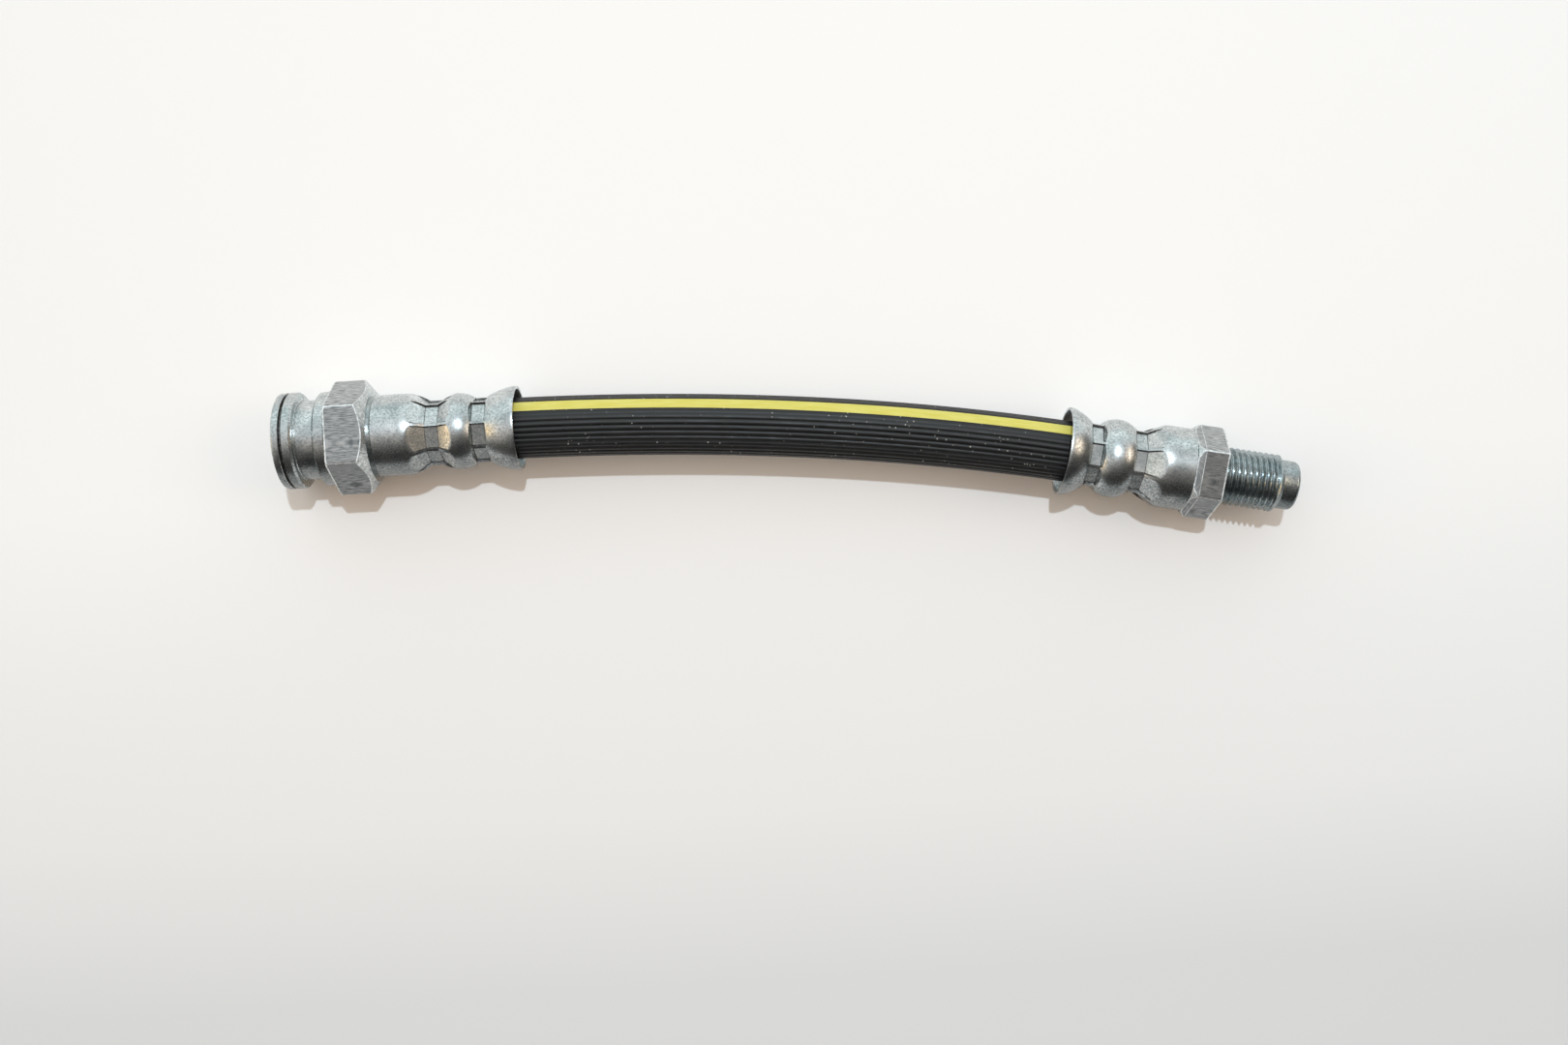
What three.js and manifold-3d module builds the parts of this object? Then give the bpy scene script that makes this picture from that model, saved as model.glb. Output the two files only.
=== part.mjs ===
// Brake hose: a short length of braided rubber hose with a machined steel fitting crimped on each end.
// Millimetres. The hose lies on a table, z = 0, and +Z is up. +X runs along the female fitting, from its
// port towards the hose. The origin is on the hexagon face that the female fitting rests on, below the
// middle of the hexagon.

import * as THREE from "three";
import { mergeVertices } from "three/addons/utils/BufferGeometryUtils.js";
import Module from "manifold-3d";

const wasm = await Module();
wasm.setup();

// Hose, from the bore outwards: inner tube, braid, cushion, braid, cover
const hoseDiameter = 10.5;
const hoseBore = 3.2;
const innerTubeWall = 0.95;
const braidThickness = 0.5;
const cushionThickness = 0.35;
const layerGap = 0.1;
const hoseSides = 10;
const freeSteps = 6;

// Lie of the hose: how far the male mouth stands from the female one, and how far its axis has turned
const mouthToMouth = 93.0;
const mouthOffset = -9.3;
const bendAngle = THREE.MathUtils.degToRad(-12.1);

// Crimp: eight jaws press flats in two bands round each shell
const jawCount = 8;
const crimpAcrossFlats = 9.9;
const ribCrestDiameter = 11.3;
const ribWidth = 0.5;
const jawWallAngle = THREE.MathUtils.degToRad(66);
const jawRampAngle = THREE.MathUtils.degToRad(32);

// Shell walls, and the pocket that takes the hose
const lipThickness = 0.55;
const bandWall = 0.95;
const bulgeWall = 1.15;
const pocketClearance = 0.3;
const squeezeClearance = 0.25;
const endClearance = 0.3;
const flarePower = 1.8;
const shoulderPower = 2.2;

// Hose tail: the ringed spigot inside the pocket, with the fluid bore through it
const tailDiameter = 3.9;
const tailRings = 5;
const tailRingPitch = 2.2;
const tailRingDepth = 0.2;
const tailTipSetback = 2.6;
const tailTipChamfer = 0.5;
const tailClearance = 0.1;
const fluidBore = 2.2;

// Thread sizes, M10 x 1 at both ends
const threadDiameter = 10;
const threadCrestLoss = 0.05;
const threadMinorDiameter = 8.9;

// Female fitting, lengths counted from the mouth of the shell
const female = {
  mouthDiameter: 14.5,
  bulgeDiameter: 13.1,
  barrelDiameter: 14,
  hoseBand: 6.3,
  hexBand: 14.2,
  jawLength: 2.1,
  drawIn: 4.2,
  pocketDepth: 21,
  innerRamp: true,
  crimpTurn: THREE.MathUtils.degToRad(-12.5),
  hexAcrossFlats: 17,
  hexTurn: 0,
  hexStart: 24.6,
  hexLength: 6.8,
  hexBackChamfer: 2,
  hexBackAngle: THREE.MathUtils.degToRad(53),
  hexFrontChamfer: 0.35,
};
const undercutLength = 0.3;
const undercutDiameter = 13.2;
const bossDiameter = 16.1;
const bossLength = 2.2;
const clipNeckDiameter = 13.6;
const clipNeckLength = 3.4;
const collarDiameter = 16.5;
const collarLength = 3.4;
const collarGrooveStart = 1.65;
const collarGrooveWidth = 0.45;
const collarGrooveDepth = 0.5;
const edgeChamfer = 0.35;
const portDepth = 12;
const portMouthChamfer = 0.75;
const seatConeAngle = THREE.MathUtils.degToRad(59);

// Male fitting, lengths counted from the mouth of the shell
const male = {
  mouthDiameter: 15.2,
  bulgeDiameter: 13.5,
  barrelDiameter: 14.2,
  hoseBand: 5,
  hexBand: 12.6,
  jawLength: 1.7,
  drawIn: 4.6,
  pocketDepth: 18.4,
  innerRamp: false,
  crimpTurn: THREE.MathUtils.degToRad(2.5),
  hexAcrossFlats: 14,
  hexTurn: THREE.MathUtils.degToRad(6.2),
  hexStart: 21.6,
  hexLength: 5.2,
  hexBackChamfer: 0.85,
  hexBackAngle: THREE.MathUtils.degToRad(40),
  hexFrontChamfer: 0.2,
};
const hexBevelLength = 1.1;
const hexBevelInset = 0.35;
const threadLength = 10.6;
const threadLeadChamfer = 0.6;
const pilotDiameter = 8.4;
const pilotLength = 3;
const pilotRound = 0.8;
const boreCountersink = 0.5;

// Fineness of the turned surfaces
const turnedSides = 40;
const boredSides = 20;
const outerSteps = 4;
const innerSteps = 3;
const overcut = 1;

// Both fittings as one list of sizes each, with what follows from the hexagon
female.hexEnd = female.hexStart + female.hexLength;
male.hexEnd = male.hexStart + male.hexLength;
female.length = female.hexEnd + bossLength + clipNeckLength + collarLength;
male.length = male.hexEnd + threadLength + pilotLength;

// Closed mesh to solid and back. Vertices are shared by place, and faces of no area at the axis go.
function toSolid(geometry) {
  geometry.deleteAttribute("normal");
  geometry.deleteAttribute("uv");
  const merged = mergeVertices(geometry, 1e-5);
  const corners = merged.index.array;
  const faces = [];
  for (let i = 0; i < corners.length; i += 3) {
    const [a, b, c] = corners.slice(i, i + 3);
    if (a !== b && b !== c && c !== a) {
      faces.push(a, b, c);
    }
  }
  const mesh = new wasm.Mesh({
    numProp: 3,
    vertProperties: new Float32Array(merged.attributes.position.array),
    triVerts: new Uint32Array(faces),
  });
  return new wasm.Manifold(mesh);
}

function toGeometry(solid) {
  const mesh = solid.getMesh();
  const geometry = new THREE.BufferGeometry();
  geometry.setAttribute("position", new THREE.BufferAttribute(mesh.vertProperties, 3));
  geometry.setIndex(new THREE.BufferAttribute(mesh.triVerts, 1));
  return geometry;
}

// Solid of revolution about +X. The outline is a list of [distance along X, radius].
function turned(outline, sides) {
  const profile = outline.map(([along, radius]) => new THREE.Vector2(radius, along));
  const geometry = new THREE.LatheGeometry(profile, sides);
  geometry.rotateZ(-Math.PI / 2);
  return toSolid(geometry);
}

// How the metal runs from one knot of an outline to the next: a bell mouth, and the two sides of a shoulder
function flare(t) {
  return t ** flarePower;
}

function fall(t) {
  return t ** shoulderPower;
}

function rise(t) {
  return 1 - fall(1 - t);
}

// Radius of an outline that runs through knots
function radiusAt(knots, along) {
  const next = knots.findIndex((knot) => knot.along >= along);
  if (next <= 0) {
    return next === 0 ? knots[0].radius : knots.at(-1).radius;
  }
  const [from, to] = [knots[next - 1], knots[next]];
  const share = (to.ease ?? rise)((along - from.along) / (to.along - from.along));
  return from.radius + (to.radius - from.radius) * share;
}

function sampled(knots, fineness) {
  const points = [[knots[0].along, knots[0].radius]];
  for (let i = 1; i < knots.length; i += 1) {
    const [from, to] = [knots[i - 1], knots[i]];
    const steps = from.radius === to.radius ? 1 : fineness;
    for (let step = 1; step <= steps; step += 1) {
      const along = from.along + (to.along - from.along) * (step / steps);
      points.push([along, radiusAt(knots, along)]);
    }
  }
  return points;
}

// Knots of the crimped shell: bell mouth, hose band, bulge, hexagon band, barrel
function shellKnots(sizes, mouth, band, bulge, barrel) {
  const half = sizes.jawLength / 2;
  const drawnOut = sizes.hexBand + half + sizes.drawIn;
  return [
    { along: 0, radius: mouth },
    { along: sizes.hoseBand - half, radius: band, ease: flare },
    { along: sizes.hoseBand + half, radius: band },
    { along: (sizes.hoseBand + sizes.hexBand) / 2, radius: bulge },
    { along: sizes.hexBand - half, radius: band, ease: fall },
    { along: sizes.hexBand + half, radius: band },
    { along: drawnOut, radius: barrel },
  ];
}

function shellOutside(sizes) {
  return shellKnots(
    sizes,
    sizes.mouthDiameter / 2,
    ribCrestDiameter / 2,
    sizes.bulgeDiameter / 2,
    sizes.barrelDiameter / 2,
  );
}

function shellInside(sizes) {
  return shellKnots(
    sizes,
    sizes.mouthDiameter / 2 - lipThickness,
    crimpAcrossFlats / 2 - bandWall,
    sizes.bulgeDiameter / 2 - bulgeWall,
    hoseDiameter / 2 + pocketClearance,
  );
}

// One jaw's bite as a solid: everything outside the pressed flat and its two flanks, within the jaw's width.
// A steep flank is the jaw's side wall, and a gentle one is the ramp that leads the metal in.
function jawBite(sizes, band, innerAngle, outerAngle, turn) {
  const flat = crimpAcrossFlats / 2;
  const top = Math.max(sizes.mouthDiameter, sizes.barrelDiameter, sizes.bulgeDiameter) / 2 + overcut;
  const half = sizes.jawLength / 2;
  const bite = new THREE.Shape();
  bite.moveTo(band - half, flat);
  bite.lineTo(band + half, flat);
  bite.lineTo(band + half + (top - flat) / Math.tan(outerAngle), top);
  bite.lineTo(band - half - (top - flat) / Math.tan(innerAngle), top);
  bite.closePath();
  const width = 2 * flat * Math.tan(Math.PI / jawCount) - ribWidth;
  const geometry = new THREE.ExtrudeGeometry(bite, { depth: width, bevelEnabled: false });
  geometry.translate(0, 0, -width / 2);
  geometry.rotateX(turn);
  return toSolid(geometry);
}

function crimpBites(sizes) {
  const hexInner = sizes.innerRamp ? jawRampAngle : jawWallAngle;
  const bites = [];
  for (let jaw = 0; jaw < jawCount; jaw += 1) {
    const turn = Math.PI / 2 + sizes.crimpTurn + (2 * Math.PI * jaw) / jawCount;
    bites.push(jawBite(sizes, sizes.hoseBand, jawWallAngle, jawWallAngle, turn));
    bites.push(jawBite(sizes, sizes.hexBand, hexInner, jawRampAngle, turn));
  }
  return bites;
}

// Pocket for the hose, cut round the ringed tail
function pocket(sizes) {
  const inside = shellInside(sizes);
  const wall = sampled(inside, innerSteps).filter(([along]) => along < sizes.pocketDepth);
  const tail = tailDiameter / 2;
  const outline = [[-overcut, 0], [-overcut, inside[0].radius], ...wall];
  outline.push([sizes.pocketDepth, radiusAt(inside, sizes.pocketDepth)]);
  outline.push([sizes.pocketDepth, tail]);
  for (let ring = tailRings; ring >= 1; ring -= 1) {
    const crest = tailTipSetback + tailTipChamfer + ring * tailRingPitch;
    outline.push([crest, tail]);
    outline.push([crest, tail - tailRingDepth]);
    outline.push([crest - tailRingPitch / 2, tail]);
  }
  outline.push([tailTipSetback + tailTipChamfer, tail]);
  outline.push([tailTipSetback, tail - tailTipChamfer / 2]);
  outline.push([tailTipSetback, 0]);
  return turned(outline, boredSides);
}

// Hexagonal bar along +X, turned from lying on one of its flats, and tapering where its ends differ in size
function hexBar(from, to, acrossFlatsFrom, acrossFlatsTo, turn) {
  const [start, end] = [acrossFlatsFrom / Math.sqrt(3), acrossFlatsTo / Math.sqrt(3)];
  const geometry = new THREE.CylinderGeometry(end, start, to - from, 6);
  geometry.rotateZ(-Math.PI / 2);
  geometry.rotateX(Math.PI / 2 + turn);
  geometry.translate((from + to) / 2, 0, 0);
  return toSolid(geometry);
}

// Envelope that turns the corners of a hexagon off: at its back by a cone, and at its front at 45 degrees
function cornerEnvelope(sizes) {
  const corner = sizes.hexAcrossFlats / Math.sqrt(3);
  const back = corner - sizes.hexBackChamfer;
  const front = corner - sizes.hexFrontChamfer;
  const widest = corner + overcut;
  const slope = Math.tan(sizes.hexBackAngle);
  return turned(
    [
      [sizes.hexStart - overcut, 0],
      [sizes.hexStart - overcut, back - overcut * slope],
      [sizes.hexStart + (widest - back) / slope, widest],
      [sizes.hexEnd - widest + front, widest],
      [sizes.hexEnd + overcut, front - overcut],
      [sizes.hexEnd + overcut, 0],
    ],
    turnedSides,
  );
}

// What both fittings share: turned outside, hexagon, crimp, pocket, and the fluid way through
function fitting(sizes, hexagon, front, fluidWay) {
  const outline = [[0, 0], ...sampled(shellOutside(sizes), outerSteps), ...front, [sizes.length, 0]];
  let body = turned(outline, turnedSides).add(hexagon.intersect(cornerEnvelope(sizes)));
  for (const bite of crimpBites(sizes)) {
    body = body.subtract(bite);
  }
  return body.subtract(pocket(sizes)).subtract(turned(fluidWay, boredSides));
}

// Female fitting: undercut behind the hexagon, boss, neck for the spring clip, grooved collar, threaded port
function femaleFitting() {
  const barrel = female.barrelDiameter / 2;
  const undercut = undercutDiameter / 2;
  const boss = bossDiameter / 2;
  const neck = clipNeckDiameter / 2;
  const collar = collarDiameter / 2;
  const groove = collar - collarGrooveDepth;
  const bossEnd = female.hexEnd + bossLength;
  const neckEnd = bossEnd + clipNeckLength;
  const grooveEnd = neckEnd + collarGrooveStart + collarGrooveWidth;
  const front = [
    [female.hexStart - undercutLength - edgeChamfer, barrel],
    [female.hexStart - undercutLength, barrel - edgeChamfer],
    [female.hexStart - undercutLength, undercut],
    [female.hexStart + undercutLength, undercut],
    [female.hexStart + undercutLength, boss],
    [bossEnd - edgeChamfer, boss],
    [bossEnd, boss - edgeChamfer],
    [bossEnd, neck],
    [neckEnd, neck],
    [neckEnd, collar - edgeChamfer],
    [neckEnd + edgeChamfer, collar],
    [neckEnd + collarGrooveStart, collar],
    [neckEnd + collarGrooveStart, groove],
    [grooveEnd, groove],
    [grooveEnd, collar],
    [female.length - edgeChamfer, collar],
    [female.length, collar - edgeChamfer],
  ];

  const minor = threadMinorDiameter / 2;
  const fluid = fluidBore / 2;
  const portEnd = female.length - portDepth;
  const mouth = minor + portMouthChamfer;
  const way = [
    [-overcut, 0],
    [-overcut, fluid],
    [portEnd - (minor - fluid) / Math.tan(seatConeAngle), fluid],
    [portEnd, minor],
    [female.length - portMouthChamfer, minor],
    [female.length, mouth],
    [female.length + overcut, mouth],
    [female.length + overcut, 0],
  ];
  const across = female.hexAcrossFlats;
  const hexagon = hexBar(female.hexStart, female.hexEnd, across, across, female.hexTurn);
  return fitting(female, hexagon, front, way);
}

// Male fitting: barrel straight up to a bevelled hexagon, threaded stem, plain pilot with a rounded nose
function maleFitting() {
  const barrel = male.barrelDiameter / 2;
  const crest = threadDiameter / 2 - threadCrestLoss;
  const pilot = pilotDiameter / 2;
  const threadEnd = male.hexEnd + threadLength;
  const nose = [];
  for (let step = 0; step <= outerSteps; step += 1) {
    const angle = (Math.PI / 2) * (step / outerSteps);
    const along = male.length - pilotRound + pilotRound * Math.sin(angle);
    nose.push([along, pilot - pilotRound + pilotRound * Math.cos(angle)]);
  }
  const front = [
    [male.hexStart + overcut, barrel],
    [male.hexStart + overcut, crest],
    [threadEnd - threadLeadChamfer, crest],
    [threadEnd, pilot],
    ...nose,
  ];

  const fluid = fluidBore / 2;
  const way = [
    [-overcut, 0],
    [-overcut, fluid],
    [male.length - boreCountersink, fluid],
    [male.length, fluid + boreCountersink],
    [male.length + overcut, fluid + boreCountersink],
    [male.length + overcut, 0],
  ];
  const across = male.hexAcrossFlats;
  const bevelEnd = male.hexStart + hexBevelLength;
  const bevelled = male.barrelDiameter - 2 * hexBevelInset;
  const bevel = hexBar(male.hexStart, bevelEnd, bevelled, across, male.hexTurn);
  const hexagon = bevel.add(hexBar(bevelEnd, male.hexEnd, across, across, male.hexTurn));
  return fitting(male, hexagon, front, way);
}

// Where each fitting lies. Both have their mouth at their own origin and run along their own +X.
const hexMiddle = female.hexStart + female.hexLength / 2;
const femaleMouth = new THREE.Vector3(hexMiddle, 0, female.hexAcrossFlats / 2);
const femaleTurn = new THREE.Quaternion().setFromAxisAngle(new THREE.Vector3(0, 0, 1), Math.PI);

// The male one lies on the lip of its mouth and on the lowest corner of its hexagon, so it slopes a little
const cornerReach = (male.hexAcrossFlats / Math.sqrt(3)) * Math.cos(Math.PI / 6 - Math.abs(male.hexTurn));
const restSlope = Math.atan2(male.mouthDiameter / 2 - cornerReach, male.hexEnd - male.hexFrontChamfer);
const maleMouthHeight = (male.mouthDiameter / 2) * Math.cos(restSlope);
const maleMouth = new THREE.Vector3(femaleMouth.x + mouthToMouth, mouthOffset, maleMouthHeight);
const maleTurn = new THREE.Quaternion().setFromEuler(new THREE.Euler(0, restSlope, bendAngle, "ZYX"));

const alongFemale = new THREE.Vector3(1, 0, 0).applyQuaternion(femaleTurn);
const alongMale = new THREE.Vector3(1, 0, 0).applyQuaternion(maleTurn);

// Centreline of the hose: straight in each shell up to the hose band, and one even bend between the bands
function hoseRoute() {
  const inFemale = (depth) => femaleMouth.clone().addScaledVector(alongFemale, depth);
  const inMale = (depth) => maleMouth.clone().addScaledVector(alongMale, depth);
  const start = inFemale(female.hoseBand);
  const end = inMale(male.hoseBand);
  const handle = start.distanceTo(end) / 3;
  const route = new THREE.CurvePath();
  route.add(new THREE.LineCurve3(inFemale(female.pocketDepth - endClearance), start));
  route.add(
    new THREE.CubicBezierCurve3(
      start,
      start.clone().addScaledVector(alongFemale, -handle),
      end.clone().addScaledVector(alongMale, -handle),
      end,
    ),
  );
  route.add(new THREE.LineCurve3(end, inMale(male.pocketDepth - endClearance)));
  return route;
}

// Depths in a shell at which the hose changes size, from the bottom of the pocket out to the mouth
function squeezeDepths(sizes) {
  const half = sizes.jawLength / 2;
  const bottom = sizes.pocketDepth - endClearance;
  const depths = [
    sizes.hexBand + half + sizes.drawIn,
    sizes.hexBand + half,
    sizes.hexBand - half,
    (sizes.hoseBand + sizes.hexBand) / 2,
    sizes.hoseBand + half,
    sizes.hoseBand - half,
    tailTipSetback,
    0,
  ];
  return [bottom, ...depths.filter((depth) => depth < bottom)];
}

// Rings of the hose: place, outer radius and bore radius at each distance along the centreline
function hoseRings(route) {
  const length = route.getLength();
  const free = hoseDiameter / 2;
  const femaleBottom = female.pocketDepth - endClearance;
  const maleBottom = male.pocketDepth - endClearance;
  const radiiIn = (sizes, depth) => {
    const room = radiusAt(shellInside(sizes), depth) - squeezeClearance;
    const onTail = depth >= tailTipSetback;
    return {
      outer: Math.min(free, room),
      bore: onTail ? tailDiameter / 2 + tailClearance : hoseBore / 2,
    };
  };
  const inFemale = squeezeDepths(female).map((depth) => ({
    distance: femaleBottom - depth,
    ...radiiIn(female, depth),
  }));
  const inMale = squeezeDepths(male).reverse().map((depth) => ({
    distance: length - maleBottom + depth,
    ...radiiIn(male, depth),
  }));
  const between = [];
  const [from, to] = [femaleBottom, length - maleBottom];
  for (let step = 1; step < freeSteps; step += 1) {
    const distance = from + (to - from) * (step / freeSteps);
    between.push({ distance, outer: free, bore: hoseBore / 2 });
  }
  return [...inFemale, ...between, ...inMale].map((ring) => {
    const centre = route.getPointAt(ring.distance / length);
    const ahead = route.getTangentAt(ring.distance / length);
    const side = new THREE.Vector3(0, 0, 1).cross(ahead).normalize();
    const up = ahead.clone().cross(side);
    return { ...ring, centre, side, up };
  });
}

// One layer of the hose: a plain ring section extruded one step per ring, then laid on the rings
function hoseLayer(rings, innerRadius, outerRadius) {
  const section = new THREE.Shape();
  section.absarc(0, 0, outerRadius, 0, 2 * Math.PI);
  const hole = new THREE.Path();
  hole.absarc(0, 0, innerRadius, 0, 2 * Math.PI);
  section.holes.push(hole);
  const steps = rings.length - 1;
  const geometry = new THREE.ExtrudeGeometry(section, {
    depth: steps,
    steps,
    bevelEnabled: false,
    curveSegments: hoseSides / 2,
  });
  const [freeBore, freeOuter] = [hoseBore / 2, hoseDiameter / 2];
  const position = geometry.attributes.position;
  for (let i = 0; i < position.count; i += 1) {
    const [x, y] = [position.getX(i), position.getY(i)];
    const ring = rings[Math.round(position.getZ(i))];
    const radius = Math.hypot(x, y);
    const share = (radius - freeBore) / (freeOuter - freeBore);
    const squeeze = (ring.bore + (ring.outer - ring.bore) * share) / radius;
    const point = ring.centre.clone().addScaledVector(ring.side, x * squeeze);
    point.addScaledVector(ring.up, y * squeeze);
    position.setXYZ(i, point.x, point.y, point.z);
  }
  return toGeometry(toSolid(geometry));
}

// Finish of each piece
const zincPlate = { color: 0xb4bcc0, roughness: 0.34, metalness: 1 };
const blackRubber = { color: 0x232425, roughness: 0.72, metalness: 0 };
const innerRubber = { color: 0x191a1b, roughness: 0.8, metalness: 0 };
const braidCord = { color: 0xd9d3c2, roughness: 0.9, metalness: 0 };

function piece(name, geometry, finish) {
  const mesh = new THREE.Mesh(geometry, new THREE.MeshStandardMaterial(finish));
  mesh.name = name;
  return mesh;
}

const brakeHose = new THREE.Group();

const femaleMesh = piece("female_fitting", toGeometry(femaleFitting()), zincPlate);
femaleMesh.position.copy(femaleMouth);
femaleMesh.quaternion.copy(femaleTurn);
brakeHose.add(femaleMesh);

const maleMesh = piece("male_fitting", toGeometry(maleFitting()), zincPlate);
maleMesh.position.copy(maleMouth);
maleMesh.quaternion.copy(maleTurn);
brakeHose.add(maleMesh);

const rings = hoseRings(hoseRoute());
const layers = [
  ["inner_tube", innerTubeWall, innerRubber],
  ["inner_braid", braidThickness, braidCord],
  ["cushion_layer", cushionThickness, innerRubber],
  ["outer_braid", braidThickness, braidCord],
];
let layerStart = hoseBore / 2;
for (const [name, thickness, finish] of layers) {
  brakeHose.add(piece(name, hoseLayer(rings, layerStart, layerStart + thickness), finish));
  layerStart += thickness + layerGap;
}
brakeHose.add(piece("hose_cover", hoseLayer(rings, layerStart, hoseDiameter / 2), blackRubber));

export default brakeHose;
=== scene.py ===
import math
from bisect import bisect_right

import bmesh
import bpy
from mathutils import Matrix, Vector


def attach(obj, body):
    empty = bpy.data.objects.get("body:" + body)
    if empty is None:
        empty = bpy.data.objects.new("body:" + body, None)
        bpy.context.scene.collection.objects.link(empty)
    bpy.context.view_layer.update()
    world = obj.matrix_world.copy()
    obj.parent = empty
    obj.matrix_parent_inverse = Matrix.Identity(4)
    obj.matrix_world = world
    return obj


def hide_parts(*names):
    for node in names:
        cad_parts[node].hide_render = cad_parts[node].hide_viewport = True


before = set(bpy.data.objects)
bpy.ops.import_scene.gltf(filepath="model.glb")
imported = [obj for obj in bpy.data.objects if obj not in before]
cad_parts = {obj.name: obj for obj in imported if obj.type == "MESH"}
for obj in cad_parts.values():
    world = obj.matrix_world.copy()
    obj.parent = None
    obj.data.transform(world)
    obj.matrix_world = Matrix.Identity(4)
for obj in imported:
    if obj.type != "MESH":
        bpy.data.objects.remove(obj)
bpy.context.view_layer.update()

# A short brake hose lying on a pale table, seen from straight above.
# Lengths are in millimetres until a point is placed, and MM turns them to metres.
MM = 0.001
UP = Vector((0, 0, 1))
FULL_TURN = 2 * math.pi

# Camera, as the photograph was taken: it looks straight down, and is turned a little about its view
CAMERA_PLACE = (72.34, -18.89, 273.0)
CAMERA_TURN = math.radians(-3.34)
IMAGE_WIDTH = 1620
FOCAL_PIXELS = 1590
SENSOR_WIDTH = 36.0

# A small cool lamp high over the table, to the north
LAMP_PLACE = (125.0, 243.0, 730.0)
LAMP_RADIUS = 12.0
LAMP_POWER = 9.0
LAMP_COLOUR = (0.79, 0.91, 1.0)

# A weak, wide and warm fill from above. It throws no shadow, so it lightens and warms the lamp's.
FILL_PLACE = (30.0, -30.0, 380.0)
FILL_WIDTH = 200.0
FILL_POWER = 0.15
FILL_COLOUR = (1.0, 0.64, 0.36)

# Strength of the room's light, and how far its window in the north is turned to the west
ROOM_STRENGTH = 1.15
WINDOW_TO_WEST = 0.45

# The ways to a warm lit doorway in the east and to a warm lamp in the west. The glow of each begins and
# is full at these cosines of the angle from its way.
DOORWAY = (0.78, 0.07, 0.62)
WEST_LAMP = (-0.93, -0.04, 0.36)
GLOW_BEGINS = 0.945
GLOW_FULL = 0.985

# The card under the hose: half its width, the hair's breadth that it lies lower so that no two faces meet,
# and where its painted shade begins to turn it grey and is greyest
CARD_HALF_WIDTH = 4000.0
CARD_DROP = 0.02
CARD_FAR_SIDE = -10.0
CARD_NEAR_SIDE = -110.0

# Hose
HOSE_DIAMETER = 10.5
HOSE_BORE = 3.2
COVER_INNER_DIAMETER = 8.6
RIB_COUNT = 32
RIB_DEPTH = 0.2
RIB_PHASE = math.radians(-3.5)
RIB_COLUMNS = 7
LINE_ANGLE = math.radians(40.8)
LINE_WIDTH = 2.1
LINE_EDGE_GROOVE = 0.14
LINE_EDGE_DEPTH = 0.07
LINE_CROWN = 0.015
FREE_RINGS = 20
FINE_STEPS = 240

# The ribs' grooves: the power that shapes them, and how shallow they are beside the yellow line. There
# they have this share of their depth, up to this many radians past the line, and gain this much a radian.
RIB_POWER = 2.6
RIB_LEAST_SHARE = 0.3
RIB_SHALLOW_TURN = 0.2
RIB_GAIN = 3

# Lie of the hose
MOUTH_TO_MOUTH = 93.0
MOUTH_OFFSET = -9.3
BEND_ANGLE = math.radians(-12.1)

# Crimp
JAW_COUNT = 8
CRIMP_ACROSS_FLATS = 9.9
RIB_CREST_DIAMETER = 11.3
CRIMP_RIB_WIDTH = 0.5
JAW_WALL_ANGLE = math.radians(66)
JAW_RAMP_ANGLE = math.radians(32)
LIP_THICKNESS = 0.55
BAND_WALL = 0.95
BULGE_WALL = 1.15
POCKET_CLEARANCE = 0.3
SQUEEZE_CLEARANCE = 0.25
END_CLEARANCE = 0.3
FLARE_POWER = 1.8
SHOULDER_POWER = 2.2

# Hose tail
TAIL_DIAMETER = 3.9
TAIL_RINGS = 5
TAIL_RING_PITCH = 2.2
TAIL_RING_DEPTH = 0.2
TAIL_TIP_SETBACK = 2.6
TAIL_TIP_CHAMFER = 0.5
TAIL_CLEARANCE = 0.1
FLUID_BORE = 2.2

# Threads, M10 x 1
THREAD_PITCH = 1.0
THREAD_CREST_RADIUS = 4.95
THREAD_ROOT_RADIUS = 4.39
PORT_CREST_RADIUS = 4.45
PORT_ROOT_RADIUS = 5.0
ROWS_PER_TURN = 10

# Shares of the pitch that the root's flat and both flanks take
THREAD_ROOT_SHARE = 0.25
THREAD_FLANK_SHARE = 0.6

# How far the port's thread stops from the bottom, the lengths over which each thread fades in and out,
# and the narrow strip between a thread and the plain metal beside it
PORT_THREAD_STOP = 1.5
PORT_THREAD_FADES = (1.0, 0.4)
STEM_THREAD_FADES = (0.5, 0.6)
THREAD_GAP = 0.02

FEMALE = dict(
    mouth=14.5, bulge=13.1, barrel=14.0, hose_band=6.3, hex_band=14.2, jaw=2.1, draw_in=4.2,
    pocket=21.0, inner_ramp=True, crimp_turn=math.radians(-12.5),
    across_flats=17.0, hex_turn=0.0, hex_start=24.6, hex_length=6.8,
    back_chamfer=2.0, back_angle=math.radians(53), front_chamfer=0.35,
)
UNDERCUT_LENGTH = 0.3
UNDERCUT_DIAMETER = 13.4
BOSS_DIAMETER = 16.1
BOSS_LENGTH = 2.2
BOSS_UNDERCUT = 0.15
CLIP_NECK_DIAMETER = 13.6
CLIP_NECK_LENGTH = 3.4
COLLAR_DIAMETER = 16.5
COLLAR_LENGTH = 3.4
COLLAR_GROOVE_START = 1.65
COLLAR_GROOVE_WIDTH = 0.45
COLLAR_GROOVE_DEPTH = 0.5
EDGE_CHAMFER = 0.35
COLLAR_END_ROUNDING = 0.07
PORT_DEPTH = 12.0
PORT_MOUTH_CHAMFER = 0.75
SEAT_CONE_ANGLE = math.radians(59)

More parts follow.
